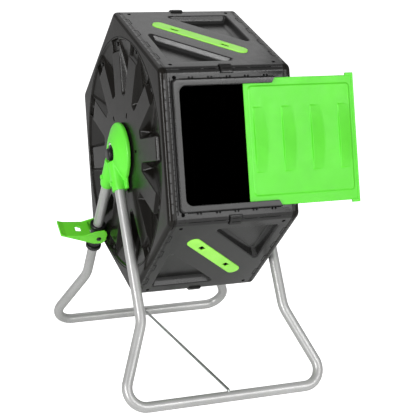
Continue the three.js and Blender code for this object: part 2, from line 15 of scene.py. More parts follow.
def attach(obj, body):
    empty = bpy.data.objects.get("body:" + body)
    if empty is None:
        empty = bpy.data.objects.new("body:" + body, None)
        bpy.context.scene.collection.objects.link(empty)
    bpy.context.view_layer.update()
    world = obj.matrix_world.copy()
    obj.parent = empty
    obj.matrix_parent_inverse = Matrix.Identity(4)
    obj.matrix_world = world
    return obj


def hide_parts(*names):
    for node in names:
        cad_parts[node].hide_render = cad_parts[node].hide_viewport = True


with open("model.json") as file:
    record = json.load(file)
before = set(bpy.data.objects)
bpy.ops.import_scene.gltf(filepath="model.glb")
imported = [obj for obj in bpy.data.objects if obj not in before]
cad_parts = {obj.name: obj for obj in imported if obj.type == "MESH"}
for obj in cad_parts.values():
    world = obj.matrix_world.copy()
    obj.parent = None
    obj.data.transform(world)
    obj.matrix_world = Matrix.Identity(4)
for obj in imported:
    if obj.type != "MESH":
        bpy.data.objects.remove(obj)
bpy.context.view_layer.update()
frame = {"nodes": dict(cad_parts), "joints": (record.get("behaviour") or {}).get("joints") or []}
JOINTS = {joint["name"]: joint for joint in frame["joints"]}
AXLE = Vector(JOINTS["drum_spin"]["pos_m"])

# ---- sizes in millimetres, shared with the CAD ----
DRUM_TILT = 14
HEX_SIDE = 300
APOTHEM = HEX_SIDE * math.cos(math.radians(30))
CORNER_R = 18
END_X = 140
SEAM_X = 124
TUBE_R = 11
LEG_X = 159
FOOT_Y = 278.6
FOOT_CORNER_X = 229.6
FOOT_BEND_R = 38
KNEE_BEND_R = 70
KNEE_Z = {-1: 158, 1: 147}
LEG_TOP = 26
AXLE_Z = AXLE.z * 1000
SPLAY = math.atan2(FOOT_Y, AXLE_Z - TUBE_R)
LEG_LENGTH = math.hypot(FOOT_Y, AXLE_Z - TUBE_R)


# ---- frames ----
def turn(degrees, axis):
    return Matrix.Rotation(math.radians(degrees), 4, axis)


STAND = Matrix.Translation((AXLE.x, 0, 0)) @ Matrix.Scale(0.001, 4)
HUB_FRAME = Matrix.Translation(AXLE) @ Matrix.Scale(0.001, 4)
DRUM = HUB_FRAME @ turn(-DRUM_TILT, "X")
MIRROR_X = Matrix.Diagonal((-1, 1, 1, 1))


def panel_frame(angle):
    """x along the axle, y upwards over the panel, z out of the drum; angle counts up from the door."""
    return DRUM @ turn(90 - angle, "X")


LOCK_FRAME = (
    Matrix.Translation(Vector(JOINTS["lock_pivot"]["pos_m"]))
    @ Matrix.Scale(0.001, 4)
    @ Matrix.Rotation(math.pi / 2 + SPLAY, 4, "X")
)


# ---- outlines ----
def corner_arc(centre, radius, start, sweep, steps):
    return [
        (
            centre[0] + radius * math.cos(math.radians(start + sweep * i / steps)),
            centre[1] + radius * math.sin(math.radians(start + sweep * i / steps)),
        )
        for i in range(steps + 1)
    ]


def inset(points, distance):
    """A convex outline, counterclockwise, with every side moved in."""
    moved = []
    count = len(points)
    for i in range(count):
        before, here, after = (Vector(points[j % count]) for j in (i - 1, i, i + 1))
        a = (here - before).normalized()
        b = (after - here).normalized()
        na, nb = Vector((-a.y, a.x)), Vector((-b.y, b.x))
        moved.append(tuple(here + (na + nb) * distance / (1 + na.dot(nb))))
    return moved


def rounded(points, radius, steps=5):
    """A convex outline, counterclockwise, with an arc at every corner."""
    out = []
    count = len(points)
    for i in range(count):
        before, here, after = (Vector(points[j % count]) for j in (i - 1, i, i + 1))
        a = (here - before).normalized()
        b = (after - here).normalized()
        angle = a.angle_signed(b) * -1
        reach = radius * math.tan(angle / 2)
        start = here - a * reach
        centre = start + Vector((-a.y, a.x)) * radius
        first = math.degrees(math.atan2(start.y - centre.y, start.x - centre.x))
        out += corner_arc(centre, radius, first, math.degrees(angle), steps)
    return out


def rectangle(half_x, half_y):
    return [(-half_x, -half_y), (half_x, -half_y), (half_x, half_y), (-half_x, half_y)]


def hexagon(apothem, radius, steps=6):
    reach = apothem / math.cos(math.radians(30))
    corners = [
        (reach * math.cos(math.radians(30 + 60 * i)), reach * math.sin(math.radians(30 + 60 * i)))
        for i in range(6)
    ]
    return rounded(corners, radius, steps)


def circle(radius, count, phase=0.0):
    return [
        (
            radius * math.cos(2 * math.pi * (i + phase) / count),
            radius * math.sin(2 * math.pi * (i + phase) / count),
        )
        for i in range(count)
    ]


def stadium(half, radius, steps=10):
    right = corner_arc((half, 0), radius, -90, 180, steps)
    left = corner_arc((-half, 0), radius, 90, 180, steps)
    return right + left


def ramp(value, low, high):
    """0 below low, 1 above high, and a smooth rise between them."""
    t = min(max((value - low) / (high - low), 0), 1)
    return t * t * (3 - 2 * t)


def smooth_min(a, b, k):
    h = max(k - abs(a - b), 0) / k
    return min(a, b) - h * h * k / 4


# ---- mesh building ----
# A profile that reaches its axis stops this far from it, and the points there are welded into one.
CORE = 0.01
WELD, FINE_WELD = 0.01, 0.0001


class Build:
    """Points and faces of one piece, in the millimetres of its own frame."""

    def __init__(self):
        self.points = []
        self.faces = []

    def ring(self, points):
        start = len(self.points)
        self.points += [tuple(p) for p in points]
        return list(range(start, len(self.points)))

    def level(self, outline, z):
        return self.ring([(x, y, z) for x, y in outline])

    def bridge(self, a, b, closed=True):
        count = len(a)
        for i in range(count if closed else count - 1):
            j = (i + 1) % count
            self.faces.append((a[i], a[j], b[j], b[i]))

    def cap(self, ring):
        self.faces.append(tuple(ring))

    def loft(self, rings, closed=True, caps=(False, False)):
        for a, b in zip(rings, rings[1:]):
            self.bridge(a, b, closed)
        if caps[0]:
            self.cap(rings[0])
        if caps[1]:
            self.cap(rings[-1])
        return rings

    def fill(self, outer, holes):
        """Flat face between an outer ring and the rings of its holes."""
        loops = [outer] + list(holes)
        flat, edges, index = [], [], []
        for loop in loops:
            base = len(flat)
            flat += [Vector(self.points[i][:2]) for i in loop]
            index += loop
            edges += [(base + i, base + (i + 1) % len(loop)) for i in range(len(loop))]
        z = self.points[outer[0]][2]
        found, _, triangles, origin, _, _ = delaunay_2d_cdt(flat, edges, [], 0, 1e-4)
        names = []
        for i, point in enumerate(found):
            names.append(index[origin[i][0]] if origin[i] else self.ring([(*point, z)])[0])
        polygons = [[self.points[i][:2] for i in loop] for loop in loops]
        for triangle in triangles:
            middle = [sum(found[i][k] for i in triangle) / 3 for k in (0, 1)]
            if inside(middle, polygons[0]) and not any(inside(middle, p) for p in polygons[1:]):
                self.faces.append(tuple(names[i] for i in triangle))

    def grid(self, rows):
        rings = [self.ring(row) for row in rows]
        self.loft(rings, closed=False)
        return rings


def inside(point, polygon):
    x, y = point
    found = False
    for (x0, y0), (x1, y1) in zip(polygon, polygon[1:] + polygon[:1]):
        if (y0 > y) != (y1 > y) and x < x0 + (y - y0) * (x1 - x0) / (y1 - y0):
            found = not found
    return found


def piece(name, build, place, body, material, replaces=(), smooth=35, out=None, weld=WELD):
    """Turns a build into an object that rides a body. out is a way that an open sheet has to face."""
    mesh = bpy.data.meshes.new(name)
    mesh.from_pydata(build.points, [], build.faces)
    bm = bmesh.new()
    bm.from_mesh(mesh)
    bmesh.ops.remove_doubles(bm, verts=bm.verts, dist=weld)
    bmesh.ops.dissolve_degenerate(bm, edges=bm.edges, dist=weld / 2)
    bmesh.ops.recalc_face_normals(bm, faces=bm.faces)
    if out is not None:
        facing = sum((f.normal.dot(Vector(out)) * f.calc_area() for f in bm.faces), 0.0)
        if facing < 0:
            bmesh.ops.reverse_faces(bm, faces=bm.faces)
    bm.to_mesh(mesh)
    bm.free()
    mesh.transform(place)
    if place.determinant() < 0:
        mesh.flip_normals()
    for polygon in mesh.polygons:
        polygon.use_smooth = True
    mesh.set_sharp_from_angle(angle=math.radians(smooth))
    obj = bpy.data.objects.new(name, mesh)
    bpy.context.scene.collection.objects.link(obj)
    mesh.materials.append(material)
    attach(obj, body)
    if replaces:
        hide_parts(*replaces)
    return obj


def modifier(obj, kind, **settings):
    added = obj.modifiers.new(kind.title(), kind)
    for key, value in settings.items():
        setattr(added, key, value)
    return added


def weighted(obj):
    modifier(obj, "WEIGHTED_NORMAL", keep_sharp=True, weight=80)


def bevel(obj, millimetres, segments=3, angle=35):
    modifier(
        obj, "BEVEL", width=millimetres / 1000, segments=segments, limit_method="ANGLE",
        angle_limit=math.radians(angle), harden_normals=False,
    )


def prism(build, outline, low, high):
    a, b = build.level(outline, low), build.level(outline, high)
    build.loft([a, b], caps=(True, True))


def turned(build, profile, sides, axis="z", centre=(0, 0, 0)):
    """A closed profile of (radius, height) turned about an axis through centre."""
    rings = []
    for radius, height in profile:
        ring = []
        for i in range(sides):
            a = 2 * math.pi * i / sides
            c, s = radius * math.cos(a), radius * math.sin(a)
            point = {"z": (c, s, height), "x": (height, c, s), "y": (s, height, c)}[axis]
            ring.append(tuple(p + q for p, q in zip(point, centre)))
        rings.append(build.ring(ring))
    build.loft(rings)
    return rings


def swept(build, path, radius, sides=28):
    """A round bar along a path of points, with closed ends."""
    path = [Vector(p) for p in path]
    tangent = (path[1] - path[0]).normalized()
    normal = tangent.orthogonal().normalized()
    rings = []
    for i, point in enumerate(path):
        ahead = path[min(i + 1, len(path) - 1)] - path[max(i - 1, 0)]
        ahead.normalize()
        normal = (normal - ahead * normal.dot(ahead)).normalized()
        side = ahead.cross(normal)
        rings.append(
            build.ring(
                [
                    point + (normal * math.cos(2 * math.pi * k / sides)
                             + side * math.sin(2 * math.pi * k / sides)) * radius
                    for k in range(sides)
                ]
            )
        )
    build.loft(rings, caps=(True, True))


def bend(before, corner, after, radius, steps=10):
    before, corner, after = Vector(before), Vector(corner), Vector(after)
    a, b = (before - corner).normalized(), (after - corner).normalized()
    half = a.angle(b) / 2
    centre = corner + (a + b).normalized() * radius / math.sin(half)
    start = corner + a * radius / math.tan(half) - centre
    axis = b.cross(a).normalized()
    sweep = math.pi - 2 * half
    return [
        centre + Matrix.Rotation(sweep * i / steps, 3, axis) @ start for i in range(steps + 1)
    ]


# ---- materials ----
def nodes_of(material):
    material.use_nodes = True
    tree = material.node_tree
    shader = tree.nodes["Principled BSDF"]
    return tree, shader


def noise(tree, scale, detail, stretch=(1, 1, 1), distortion=0.0):
    coords = tree.nodes.new("ShaderNodeTexCoord")
    mapping = tree.nodes.new("ShaderNodeMapping")
    mapping.inputs["Scale"].default_value = stretch
    texture = tree.nodes.new("ShaderNodeTexNoise")
    texture.inputs["Scale"].default_value = scale
    texture.inputs["Detail"].default_value = detail
    texture.inputs["Distortion"].default_value = distortion
    tree.links.new(coords.outputs["Object"], mapping.inputs["Vector"])
    tree.links.new(mapping.outputs["Vector"], texture.inputs["Vector"])
    return texture.outputs["Fac"]


def mapped(tree, value, low_in, high_in, low_out, high_out):
    node = tree.nodes.new("ShaderNodeMapRange")
    for name, number in (
        ("From Min", low_in), ("From Max", high_in), ("To Min", low_out), ("To Max", high_out)
    ):
        node.inputs[name].default_value = number
    tree.links.new(value, node.inputs["Value"])
    return node.outputs["Result"]


def two_tone(tree, factor, dark, light):
    mix = tree.nodes.new("ShaderNodeMix")
    mix.data_type = "RGBA"
    mix.inputs["A"].default_value = (*dark, 1)
    mix.inputs["B"].default_value = (*light, 1)
    tree.links.new(factor, mix.inputs["Factor"])
    return mix.outputs["Result"]


def bumps(tree, shader, layers):
    """Chained bump layers of (height, strength, distance in metres)."""
    normal = None
    for height, strength, distance in layers:
        node = tree.nodes.new("ShaderNodeBump")
        node.inputs["Strength"].default_value = strength
        node.inputs["Distance"].default_value = distance
        tree.links.new(height, node.inputs["Height"])
        if normal is not None:
            tree.links.new(normal, node.inputs["Normal"])
        normal = node.outputs["Normal"]
    tree.links.new(normal, shader.inputs["Normal"])


def moulded_plastic(name, dark, light, roughness, grain, specular=0.5):
    """Injection-moulded plastic: cloudy tone, satin sheen that varies, and a fine grain."""
    material = bpy.data.materials.new(name)
    tree, shader = nodes_of(material)
    cloud = noise(tree, 14, 4, distortion=0.6)
    tree.links.new(
        two_tone(tree, mapped(tree, cloud, 0.3, 0.7, 0, 1), dark, light),
        shader.inputs["Base Color"],
    )
    rub = noise(tree, 55, 5)
    tree.links.new(
        mapped(tree, rub, 0.3, 0.7, roughness[0], roughness[1]), shader.inputs["Roughness"]
    )
    shader.inputs["Specular IOR Level"].default_value = specular
    fine = noise(tree, 1400, 2)
    wave = noise(tree, 22, 2)
    bumps(tree, shader, [(fine, grain, 0.0004), (wave, 0.03, 0.004)])
    return material


def coated_tube():
    material = bpy.data.materials.new("silver_powder_coat")
    tree, shader = nodes_of(material)
    cloud = noise(tree, 9, 4)
    tree.links.new(
        two_tone(tree, mapped(tree, cloud, 0.3, 0.7, 0, 1), (0.42, 0.42, 0.415), (0.5, 0.5, 0.495)),
        shader.inputs["Base Color"],
    )
    shader.inputs["Metallic"].default_value = 0.35
    flecks = noise(tree, 900, 2)
    tree.links.new(mapped(tree, flecks, 0.3, 0.7, 0.26, 0.42), shader.inputs["Roughness"])
    bumps(tree, shader, [(flecks, 0.12, 0.0003), (noise(tree, 180, 3), 0.05, 0.0006)])
    return material


def zinc_metal(name, dark, light):
    material = bpy.data.materials.new(name)
    tree, shader = nodes_of(material)
    spangle = noise(tree, 160, 3)
    tree.links.new(
        two_tone(tree, mapped(tree, spangle, 0.3, 0.7, 0, 1), dark, light),
        shader.inputs["Base Color"],
    )
    shader.inputs["Metallic"].default_value = 1.0
    tree.links.new(mapped(tree, spangle, 0.3, 0.7, 0.3, 0.5), shader.inputs["Roughness"])
    bumps(tree, shader, [(noise(tree, 600, 3), 0.15, 0.0004)])
    return material


BLACK = moulded_plastic(
    "black_polypropylene", (0.011, 0.0107, 0.0105), (0.0145, 0.0142, 0.014), (0.2, 0.26), 0.07, 0.42
)
PLATE_BLACK = moulded_plastic(
    "black_end_plate", (0.0072, 0.0064, 0.0052), (0.0098, 0.0088, 0.0074), (0.19, 0.25), 0.06, 0.18
)
# Near-black, matte copy of the black plastic: painted shade for the drum's inside faces, the gaps
# round the edge clips, the groove lines and the dark screw and lug dots.
SHADE_BLACK = moulded_plastic(
    "painted_shade_black", (0.002, 0.002, 0.002), (0.003, 0.003, 0.003), (0.8, 0.95), 0.12, 0.05
)
FITTING = moulded_plastic(
    "black_nylon", (0.006, 0.006, 0.006), (0.011, 0.011, 0.011), (0.26, 0.4), 0.08, 0.4
)
DOOR_GREEN = moulded_plastic(
    "door_lime", (0.096, 0.62, 0.025), (0.114, 0.695, 0.032), (0.3, 0.42), 0.08, 0.32
)
STRIP_GREEN = moulded_plastic(
    "strip_lime", (0.36, 0.95, 0.1), (0.41, 1.0, 0.12), (0.32, 0.44), 0.08, 0.4
)
HUB_GREEN = moulded_plastic(
    "hub_lime", (0.125, 0.78, 0.04), (0.155, 0.88, 0.055), (0.28, 0.4), 0.08, 0.4
)
LEVER_GREEN = moulded_plastic(
    "lever_lime", (0.16, 0.78, 0.035), (0.2, 0.88, 0.045), (0.3, 0.44), 0.08, 0.4
)
TUBE = coated_tube()
ZINC = zinc_metal("zinc_plate", (0.34, 0.36, 0.35), (0.55, 0.57, 0.56))
DARK_ZINC = zinc_metal("blackened_screw", (0.05, 0.05, 0.05), (0.09, 0.09, 0.088))


# ---- stand ----
def on_leg(x, down, side):
    return Vector((x, side * down * math.sin(SPLAY), AXLE_Z - down * math.cos(SPLAY)))


def leg_frame(name, side):
    knee = (AXLE_Z - KNEE_Z[side]) / math.cos(SPLAY)
    top, mid, foot = [], [], []
    for sx in (-1, 1):
        top.append(on_leg(sx * LEG_X, LEG_TOP, side))
        mid.append(on_leg(sx * LEG_X, knee, side))
        foot.append(on_leg(sx * FOOT_CORNER_X, LEG_LENGTH, side))
    path = [top[0]]
    path += bend(top[0], mid[0], foot[0], KNEE_BEND_R)
    path += bend(mid[0], foot[0], foot[1], FOOT_BEND_R, 16)
    path += bend(foot[0], foot[1], mid[1], FOOT_BEND_R, 16)
    path += bend(foot[1], mid[1], top[1], KNEE_BEND_R)
    path.append(top[1])
    build = Build()
    swept(build, path, TUBE_R, 32)
    piece(name + "_tube", build, STAND, "stand", TUBE, [name + "_leg_frame"])


def spreader_rod():
    radius = 3
    top = 2 * TUBE_R + radius + 0.3
    end = 2 * TUBE_R - 2 * radius
    front, rear = Vector((0, -FOOT_Y, top)), Vector((0, FOOT_Y, top))
    low_front, low_rear = Vector((0, -FOOT_Y, end)), Vector((0, FOOT_Y, end))
    path = [low_front] + bend(low_front, front, rear, 4.5, 8) + bend(front, rear, low_rear, 4.5, 8)
    build = Build()
    swept(build, path + [low_rear], radius, 16)
    piece("spreader_bar", build, STAND, "stand", ZINC, ["spreader_rod"])


def blended(obj, voxel, smoothing=4):
    """Fuses overlapping closed shapes into one moulded skin with soft inner corners."""
    modifier(obj, "REMESH", mode="VOXEL", voxel_size=voxel / 1000, use_smooth_shade=True)
    modifier(obj, "SMOOTH", factor=0.5, iterations=smoothing)


HUB_RIM_X, HUB_DOME_X, HUB_RIM_R, SOCKET_R = -143.5, -167, 66, 15.5
BALL_R = 15  # the round end of the rear leg's socket


def bar_between(build, start, end, radius, sides=24, taper=1.0):
    start, end = Vector(start), Vector(end)
    axis = (end - start).normalized()
    a = axis.orthogonal().normalized()
    b = axis.cross(a)
    rings = []
    for point, r in ((start, radius), (end, radius * taper)):
        rings.append(
            build.ring(
                [
                    point + (a * math.cos(2 * math.pi * k / sides)
                             + b * math.sin(2 * math.pi * k / sides)) * r
                    for k in range(sides)
                ]
            )
        )
    build.loft(rings, caps=(True, True))


def down_leg(x, down, side, across=0.0):
    """A point of the hub's frame: down a leg, and across it in the leg's own plane."""
    s, c = math.sin(SPLAY), math.cos(SPLAY)
    return Vector((x, side * (down * s + across * c), -down * c + across * s))


def prism_x(build, outline, low, high):
    a = build.ring([(low, y, z) for y, z in outline])
    b = build.ring([(high, y, z) for y, z in outline])
    build.loft([a, b], caps=(True, True))


def hub(name, place):
    build = Build()
    rim, dome = HUB_RIM_X, HUB_DOME_X
    turned(
        build,
        [
            (CORE, rim), (HUB_RIM_R, rim), (HUB_RIM_R, rim - 6), (HUB_RIM_R - 2, rim - 8.5),
            (HUB_RIM_R - 8, rim - 11), (44, rim - 17.5), (30, dome + 1), (24, dome),
            (20.5, dome), (20.5, dome + 6), (CORE, dome + 6),
        ],
        72, "x",
    )
    for side, end in ((-1, 82), (1, 84)):
        bar_between(build, down_leg(-LEG_X, 18, side), down_leg(-LEG_X, end, side), SOCKET_R, 28)
        for across in (-1, 1):
            skirt = [down_leg(0, 20, side, across * 8), down_leg(0, end, side, across * 8),
                     down_leg(0, end, side, across * 18), down_leg(0, 50, side, across * 26)]
            prism_x(build, [(p.y, p.z) for p in skirt], rim - 6, rim)
    ball = [
        (max(BALL_R * math.sin(math.pi * i / 10), CORE), BALL_R * math.cos(math.pi * i / 10))
        for i in range(11)
    ]
    turned(build, ball, 24, "x", down_leg(-LEG_X, 84, 1))
    web = [down_leg(0, 30, 1), down_leg(0, 78, 1), down_leg(0, 78, -1), down_leg(0, 30, -1)]
    prism_x(build, [(p.y, p.z) for p in web], -LEG_X - 3, rim)
    obj = piece(
        name + "_hub", build, place, "stand", HUB_GREEN, [name + "_hub_bracket"]
    )
    blended(obj, 1.2)


def hub_details(name, place):
    """Covers of the bolts through the sockets, and the small screw that keeps the hub's cover."""
    build = Build()
    turned(
        build,
        [(CORE, -163.8), (1, -163.8), (1.4, -164.6), (3.6, -164.4), (4.6, -163), (4.6, -158),
         (CORE, -158)],
        16, "x", (-4, 4, 21),
    )
    piece(name + "_hub_screw", build, place, "stand", ZINC)
    for side, word in ((-1, "front"), (1, "rear")):
        build = Build()
        at = down_leg(0, 66, side)
        outside = -LEG_X - SOCKET_R
        turned(
            build,
            [(CORE, outside - 3.4), (2.2, outside - 3.3), (4.6, outside - 2.4), (5.4, outside - 1),
             (5.4, outside + 0.6), (CORE, outside + 0.6)],
            20, "x", (0, at.y, at.z),
        )
        piece(
            f"{word}_{name}_bolt_cap", build, place, "stand", HUB_GREEN,
            [f"{word}_{name}_socket_bolt"],
        )


def axle_cap(name, place):
    build = Build()
    turned(
        build,
        [(CORE, -174.5), (8, -174.5), (11, -173.8), (12.5, -172.2), (13, -170), (13, -166),
         (CORE, -166)],
        40, "x",
    )
    piece(name + "_knob", build, place, "drum", FITTING, [name + "_axle_cap"])


# ---- lock ----
def lock_collar():
    build = Build()
    inner = TUBE_R + 0.3
    profile = [
        (inner, -45), (16.6, -45), (17.3, -44.2), (17.3, -37.8), (16.6, -37), (13.6, -36.6),
        (13.6, 17.6), (16.6, 18), (17.3, 18.8), (17.3, 25.2), (16.6, 26), (inner, 26), (inner, -45),
    ]
    turned(build, profile, 48, "y")
    turned(build, [(CORE, -18), (7.5, -18), (7.5, 18), (CORE, 18)], 24, "z")
    piece("lock_sleeve", build, LOCK_FRAME, "stand", FITTING, ["lock_collar"],
          weld=0.001)


LEVER_HALF = 22
LEVER_WALL = 3
LEVER_END = -89
NOSE_X = LEG_X - END_X - 1.2
LEVER_SLOT = (-51, -39)
HEEL = [(NOSE_X, -4.5), (16.3, -8.5), (13.5, -12.5), (9.8, -15.5)]
BROW = [(10, 24.5), (15, 20), (NOSE_X, 13)]
HEEL_ROOM = 14.8
COLLAR_ROOM = 18.5


def lever():
    """A channel with two flanges, a slotted tread, an upturned lip and a rounded nose."""
    end = LEVER_END
    under = [(-9, 8.9), (-62, 13.5), (-75, 15), (end, 18.6)]
    over = [(end, 22.5), (-76, 18.5), (-63, 17), (-9, 12)]
    build = Build()
    shoulder = [(-32, 14.2), (-20, 18.5), (-8, 22.5)]
    outline = shoulder + BROW + HEEL + [(-8, -15.3), under[-1]] + over[:-1]
    for low in (LEVER_HALF - LEVER_WALL, -LEVER_HALF):
        prism(build, outline, low, low + LEVER_WALL)
    width = COLLAR_ROOM + 0.5
    for low, high in ((-LEVER_HALF, -width), (width, LEVER_HALF)):
        prism(build, under + over, low, high)
    left, right = LEVER_SLOT
    beyond = [point for point in under + over if point[0] < left]
    prism(build, [(left, 12.5)] + beyond + [(left, 15.9)], -width, width)
    prism(build, [(-18.4, 9.8), (right, 11.5), (right, 14.8), (-18.4, 13)], -width, width)
    beside_slot = [(left - 1, 12.6), (right + 1, 11.4), (right + 1, 14.7), (left - 1, 16)]
    for low, high in ((-LEVER_HALF, -7), (7, LEVER_HALF)):
        prism(build, beside_slot, low, high)
    lip = [(end, 17.5), (end + 3.5, 17), (end + 3.5, 22), (end, 22.5)]
    prism(build, lip, -LEVER_HALF, LEVER_HALF)
    heel = HEEL + [(8, -14), (12.5, -9), (13.8, -4)]
    for low, high in ((-LEVER_HALF, -HEEL_ROOM), (HEEL_ROOM, LEVER_HALF)):
        prism(build, heel, low, high)
    past_sleeve = HEEL[:2] + [(14.8, -10.8), (14.8, -4)]
    prism(build, past_sleeve, -HEEL_ROOM, HEEL_ROOM)
    obj = piece(
        "lock_handle", build, LOCK_FRAME, "lock_lever", LEVER_GREEN, ["lock_lever"]
    )
    blended(obj, 0.7, 2)


def pivot_pin():
    build = Build()
    low, high = -LEVER_HALF, LEVER_HALF
    for start, tip in ((high, high + 3.2), (low, low - 3.0)):
        flip = 1 if tip > start else -1
        turned(
            build,
            [(CORE, tip), (3.2, tip - 0.1 * flip), (4.6, tip - 1.0 * flip), (5.2, tip - 2.2 * flip),
             (5.2, start - 0.2 * flip), (CORE, start - 0.2 * flip)],
            24, "z",
        )
    piece(
        "lock_pin_head", build, LOCK_FRAME, "stand", FITTING, ["lock_pivot_pin"]
    )


# ---- end plates ----
FINGER_HALF = 23.5
PETAL_TIP = 126
RIM_R = 247
SCREW_R = 231
TAB_PITCH = 20
STEP = (213, 217.5, 239.5, 241.5, 6.5)


def eased_wall(distance, slope, fillet):
    """Depth of a drafted wall at a distance in from its top edge."""
    if distance <= -fillet:
        return 0.0
    if distance < fillet:
        return slope * (distance + fillet) ** 2 / (4 * fillet)
    return slope * distance


def plate_depth(rho, t):
    """Depth below the land at a distance rho from the axle and t across from a finger's middle."""
    along = math.sqrt(max(rho * rho - t * t, 0))
    start, foot, floor_end, end, deep = STEP
    step = deep * ramp(along, start, foot) * (1 - ramp(along, floor_end, end))
    inner = eased_wall(t - FINGER_HALF, 1.9, 1.3)
    tip = eased_wall(rho - PETAL_TIP, 1.7, 2.5)
    floor = 22 - 18.5 * min(max((rho - 137) / (238 - 137), 0), 1)
    petal = smooth_min(smooth_min(inner, tip, 5), floor, 5)
    petal = max(petal, 0) * (1 - ramp(rho, 237.5, 241))
    share = ramp(t, FINGER_HALF - 0.8, FINGER_HALF + 0.8)
    groove = 1.4 * ramp(rho, 242.6, 243.4) * (1 - ramp(rho, 245, 245.8))
    return step * (1 - share) + max(petal, 0) * (share if rho > 200 else 1) + groove


RHO_ROWS = (
    [98, 110, 118, 122, 123.5, 125, 126.5, 128, 130, 132, 134.5, 137, 140, 144, 149, 155, 162]
    + list(range(170, 206, 7))
    + [208, 211, 213, 214.5, 216, 217.5, 219.5, 223, 227, 231, 235, 237, 238, 239, 240, 241, 242]
    + [242.6, 243, 243.4, 245, 245.4, 245.8, RIM_R]
)
T_LAND = [0, 7, 14, 19, 21.5, 22.3, 23.0, 23.7, 24.4, 25.2]
T_SHARES = [0.06, 0.13, 0.2, 0.28, 0.36, 0.45, 0.54, 0.64, 0.74, 0.84, 0.92, 1.0]


def sector_row(rho):
    edge = rho * math.sin(math.radians(15))
    last = T_LAND[-1]
    if edge > last + 1:
        return T_LAND + [last + (edge - last) * s for s in T_SHARES]
    scale = edge / (last + 12)
    return [t * scale for t in T_LAND] + [(last + 12 * s) * scale for s in T_SHARES]


def spider(build):
    """Land, fingers and petals between the hub's face and the circle near the rim."""
    inner_ring, outer_ring = [], []
    for k in range(12):
        angle = math.radians(30 * k)
        ca, sa = math.cos(angle), math.sin(angle)
        rows = []
        for rho in RHO_ROWS:
            half = sector_row(rho)
            row = []
            for t in [-t for t in reversed(half[1:])] + half:
                along = math.sqrt(rho * rho - t * t)
                depth = plate_depth(rho, abs(t))
                row.append((along * ca - t * sa, along * sa + t * ca, -depth))
            rows.append(row)
        build.grid(rows)
        inner_ring += rows[0][:-1]
        outer_ring += rows[-1][:-1]
    return build.ring(inner_ring), build.ring(outer_ring)


def plate_rim(build):
    """From the land's edge round to the seam with the side panels, with a fine groove."""
    steps = [
        (250.5, 0, 8), (252.8, 0.25, 9), (255, 1.1, 11), (256.9, 2.5, 13), (258.4, 4.5, 15),
        (259.3, 6.6, 16.5), (259.8, 9, 18), (259.8, 10.0, 18), (258.9, 10.3, 17), (258.9, 11.3, 17),
        (259.8, 11.6, 18), (259.8, 15.2, 18), (259.3, 15.9, 17.6), (256.3, 16.1, 14.4),
        (255.9, 24, 14),
    ]
    rings = [build.level(hexagon(a, r), -w) for a, w, r in steps]
    build.loft(rings)
    return rings[0]


def boxes(build, low, high):
    (x0, y0, z0), (x1, y1, z1) = low, high
    prism(build, [(x0, y0), (x1, y0), (x1, y1), (x0, y1)], z0, z1)


def end_plate(name, place):
    build = Build()
    inner, outer = spider(build)
    edge = plate_rim(build)
    build.fill(edge, [outer])
    slots = []
    for k in range(6):
        rot = turn(60 * k, "Z")
        outline = rounded(rectangle(6, 2.8), 1.2, 3)
        outline = [(rot @ Vector((x + 88, y, 0)))[:2] for x, y in outline]
        top = build.level(outline, 0)
        build.loft([top, build.level(outline, -9)], caps=(False, True))
        slots.append(top)
    bore = build.level(circle(16, 32), 0)
    build.loft([bore, build.level(circle(16, 32), -4)])
    build.fill(inner, slots + [bore])
    obj = piece(name + "_end_shell", build, place, "drum", PLATE_BLACK,
                [name + "_end_plate"], smooth=50, out=(0, 0, 1))
    # The shell's inside face gets the near-black painted-shade material, darker than the outside of
    # the same plastic.
    obj.data.materials.append(SHADE_BLACK)
    modifier(obj, "SOLIDIFY", thickness=0.003, offset=-1, material_offset=1)
    weighted(obj)


def plate_fixings(name, place):
    """Screws in small dark pockets at the finger ends, and the tabs of the castellated seam."""
    build = Build()
    for k in range(12):
        if k % 6 == 0:
            continue
        angle = math.radians(30 * k)
        centre = (SCREW_R * math.cos(angle), SCREW_R * math.sin(angle), 0)
        turned(
            build,
            [(CORE, -4.2), (0.9, -4.2), (1.2, -3.4), (3.2, -3.2), (4.2, -4.0), (4.4, -6.6),
             (CORE, -6.6)],
            18, "z", centre,
        )
    piece(name + "_end_screws", build, place, "drum", DARK_ZINC,
          [f"{name}_plate_screw_{i}" for i in range(1, 11)])
    build = Build()
    for k in range(6):
        rot = turn(60 * k, "Z")
        for i in range(-6, 7):
            tab = Build()
            middle = TAB_PITCH * i
            boxes(tab, (257.5, middle - 9.1, -11.8), (259.9, middle + 9.1, -7.6))
            start = len(build.points)
            build.points += [tuple(rot @ Vector(p)) for p in tab.points]
            build.faces += [tuple(start + j for j in face) for face in tab.faces]
    obj = piece(name + "_seam_tabs", build, place, "drum", BLACK)
    bevel(obj, 0.3, 2)


# ---- side panels ----
PANELS = {"upper_front": 60, "upper_rear": 120, "rear": 180, "lower_rear": 240, "lower_front": 300}
TANGENT = HEX_SIDE / 2 - CORNER_R * math.tan(math.radians(30))
VENT_ANGLE, VENT_HALF, VENT_R, VENT_HOLE = -46.8, 94.6, 14, 58
POCKET = [(105, 118), (-38, 118), (105, -33)]
POCKET_WALL = [
    (-1.8, 0), (-0.9, 0.2), (0, 0.9), (0.7, 2.1), (1.5, 4), (3.4, 8.4), (5.4, 11.8),
    (7.6, 13.8), (9.8, 14.7), (12.2, 15),
]
PANEL_END = SEAM_X - 0.3


def turned_points(points, degrees):
    c, s = math.cos(math.radians(degrees)), math.sin(math.radians(degrees))
    return [(x * c - y * s, x * s + y * c) for x, y in points]


def pocket(build, outline):
    rings = []
    for distance, depth in POCKET_WALL:
        radius = max(7 - distance * 0.28, 1.5)
        outline_here = rounded(inset(outline, distance), radius, 6)
        rings.append(build.level(outline_here, APOTHEM - depth))
    build.loft(rings, caps=(False, True))
    return rings[0]


